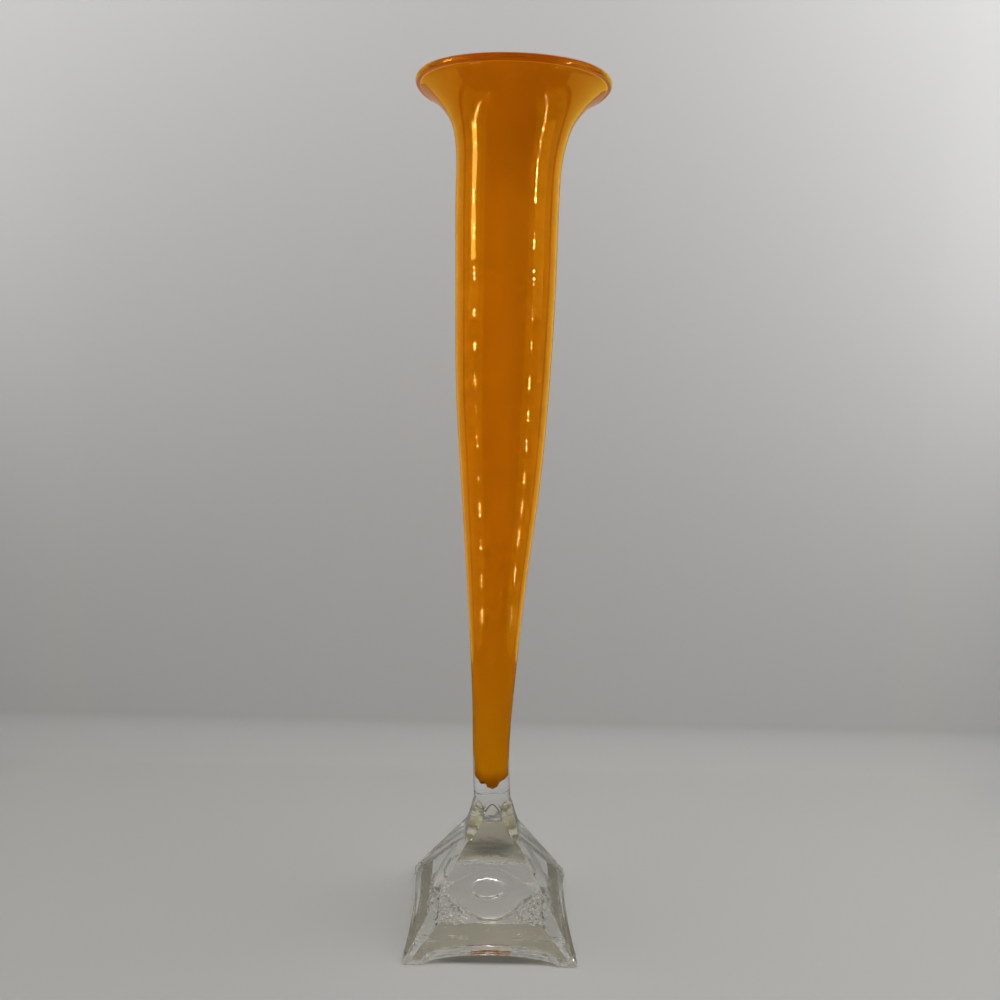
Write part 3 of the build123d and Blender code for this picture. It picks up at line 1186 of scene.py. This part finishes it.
    def make_lights(self) -> None:
        """The ceiling's light, its strips, the pale bands and the rows of lamps that show on the body."""
        soft, glass, shine = {Ray.DIFFUSE, Ray.TRANSMISSION}, {Ray.TRANSMISSION}, {Ray.GLOSSY}
        white, warm, gold = (1.0, 1.0, 1.0), (1.0, 0.99, 0.96), (1.0, 0.8, 0.1)
        for name, across, strength in (
            ("left_ceiling", (-0.6, -0.18), 3.2),
            ("middle_ceiling", (-0.18, 0.22), 1.3),
            ("right_ceiling", (0.22, 0.8), 3.9),
        ):
            self.card(name, self.lying(across, (-0.3, 0.22), 0.8), white, strength, soft)
        for name, across, strength in (("left_glow", -0.55, 2.2), ("right_glow", 0.55, 3.5)):
            self.card(name, self.facing(across, (-0.15, 0.15), (0.33, 0.52)), white, strength, {Ray.DIFFUSE})
        self.card("front_fill", self.upright((-60.0, 60.0), 0.6, (0.3, 1.1)), warm, 0.2, glass)
        for name, along in (("front_strip", (-0.22, -0.19)), ("back_strip", (0.08, 0.11))):
            self.card(name, self.lying((-0.22, 0.22), along, 0.79), warm, 15.0, glass)
        for name, azimuths, distance, heights, light, strength in (
            ("left_band", (-103.0, -50.0), 0.4, (0.0, 0.78), gold, 0.95),
            ("left_inner_band", (-88.0, -62.0), 0.35, (0.34, 0.78), gold, 1.9),
            ("left_edge", (-150.0, -110.0), 0.4, (0.0, 0.78), gold, 1.0),
            ("right_band", (46.0, 106.0), 0.4, (0.0, 0.78), gold, 1.0),
            ("right_inner_band", (60.0, 88.0), 0.35, (0.34, 0.78), gold, 2.3),
            ("right_bar", (57.0, 62.0), 0.325, (0.4375, 0.4435), gold, 9.0),
            ("right_edge", (113.0, 150.0), 0.4, (0.0, 0.78), gold, 1.3),
            ("left_bar", (-82.0, -71.0), 0.325, (0.388, 0.56), (1.0, 0.84, 0.36), 15.0),
            ("back_edge", (152.0, 208.0), 0.5, (0.0, 0.78), (1.0, 0.78, 0.6), 0.45),
        ):
            self.card(name, self.upright(azimuths, distance, heights), light, strength, shine)
        for name, azimuths in (("left_lamps", (-58.0, -77.0)), ("right_lamps", (70.0, 59.0))):
            self.card(name, self.lamps(azimuths, (0.04, 0.46)), (1.0, 0.9, 0.6), 300.0, shine)

    @staticmethod
    def lamps(azimuths: Pair, heights: Pair) -> ndarray:
        """A leaning row of small lamps in threes, as square quads facing the vase.

        Args:
            azimuths: Directions of the lowest and the highest lamp, in degrees from the front.
            heights: Their heights.

        Returns:
            Corners of the quads.
        """
        spacing, step, half_width, half_height, distance = 0.033, 0.005, 0.005, 0.0011, 0.31
        height = np.arange(heights[0], heights[1], spacing)[:, None] + np.arange(3) * step
        height = height.ravel()
        turn = np.radians(np.interp(height, heights, azimuths))
        level = np.zeros_like(turn)
        centre = np.column_stack([np.sin(turn) * distance, -np.cos(turn) * distance, height])
        across = np.column_stack([np.cos(turn), np.sin(turn), level]) * half_width
        up = np.array([0.0, 0.0, half_height])
        return np.stack([
            centre - across - up, centre + across - up, centre + across + up, centre - across + up,
        ], axis=1)


@dataclass
class PhotoCamera:
    """The camera at the photograph's viewing angle, fitted to the foot, the rim and the axis."""

    sensor: float = 36.0  # Width of the sensor, in millimetres
    focal_share: float = 0.885  # Focal length as a share of the sensor's width
    place: Point = (-0.00085, -0.466, 0.31195)  # Where the camera stands before its turn, in metres
    pitch_down: float = 8.81  # How far it looks down, in degrees
    roll: float = 1.66  # How far it leans, in degrees
    turn: float = -1.1  # Its turn about the vase's axis, in degrees

    def build(self) -> Object:
        """Makes the camera and puts it to use.

        Returns:
            The new camera.
        """
        lens = bpy.data.cameras.new("photo_camera")
        lens.sensor_width = self.sensor
        lens.lens = self.focal_share * self.sensor
        camera = bpy.data.objects.new("photo_camera", lens)
        camera.matrix_world = (
            Matrix.Rotation(math.radians(self.turn), 4, "Z")
            @ Matrix.Translation(self.place)
            @ Matrix.Rotation(math.radians(90.0 - self.pitch_down), 4, "X")
            @ Matrix.Rotation(math.radians(self.roll), 4, "Z")
        )
        bpy.context.scene.collection.objects.link(camera)
        bpy.context.scene.camera = camera
        return camera


def main() -> None:
    """Builds the vase, the studio and the camera, and reports each piece."""
    logging.basicConfig(level=logging.INFO, format="%(name)s: %(message)s")
    foot_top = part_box("pressed_foot")[1]
    casing_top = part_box("clear_casing")[1]
    lining_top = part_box("orange_lining")[1]
    body = BodyForm(joint_height=foot_top[2] / MM, lip_top=lining_top[2] / MM, rim_radius=casing_top[0] / MM)
    foot = FootForm(base_half=foot_top[0] / MM, joint_height=foot_top[2] / MM)
    pressed = GlassFinish(
        "pressed_glass", tint=(0.92, 0.905, 0.855), shine=(1.0, 1.0, 1.0),
        wave_size=130.0, wave_depth=0.00025, grain_size=700.0, grain_depth=0.00003, glint_depth=0.0036,
    )
    blown = GlassFinish(
        "blown_glass", tint=(0.98, 0.985, 0.975), shine=(1.0, 0.62, 0.12),
        wave_size=25.0, wave_depth=0.0002, grain_size=120.0, grain_depth=0.00002,
    )
    vessel = ClearVessel(foot, body, pressed, blown).build()
    # In both orange finishes, line is the colour of a painted highlight just inside the lip.
    covered = OrangeFinish(
        "orange_under_clear", pale=(0.72, 0.226, 0.002), deep=(0.66, 0.195, 0.0015), line=(1.0, 0.38, 0.015),
        rim=(0.6, 0.135, 0.002), end=(0.67, 0.248, 0.001), tip=(0.36, 0.102, 0.001), shine=0.0, roughness=0.6,
    )
    bare = OrangeFinish(
        "orange_inside", pale=(0.72, 0.2, 0.002), deep=(0.66, 0.17, 0.0015), line=(0.75, 0.2, 0.002),
        rim=(0.6, 0.135, 0.002), end=(0.5, 0.13, 0.001), tip=(0.3, 0.08, 0.001), shine=0.5, roughness=0.08,
    )
    orange = OrangeLayer(body, covered, bare).build()
    for piece, nodes, slot in (
        (vessel, ("clear_casing", "pressed_foot"), "pressed_glass"),
        (orange, ("orange_lining",), "orange_glass"),
    ):
        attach(piece, "root")
        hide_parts(*nodes)
        LOG.info("%s: %d faces, stands for %s", piece.name, len(piece.data.polygons), ", ".join(nodes))
    Tent().build()
    PhotoCamera().build()
    scene = bpy.context.scene
    scene.view_settings.view_transform = "Standard"
    scene.cycles.glossy_bounces = REFLECTIONS
    bpy.context.view_layer.update()


if __name__ == "__main__":
    main()
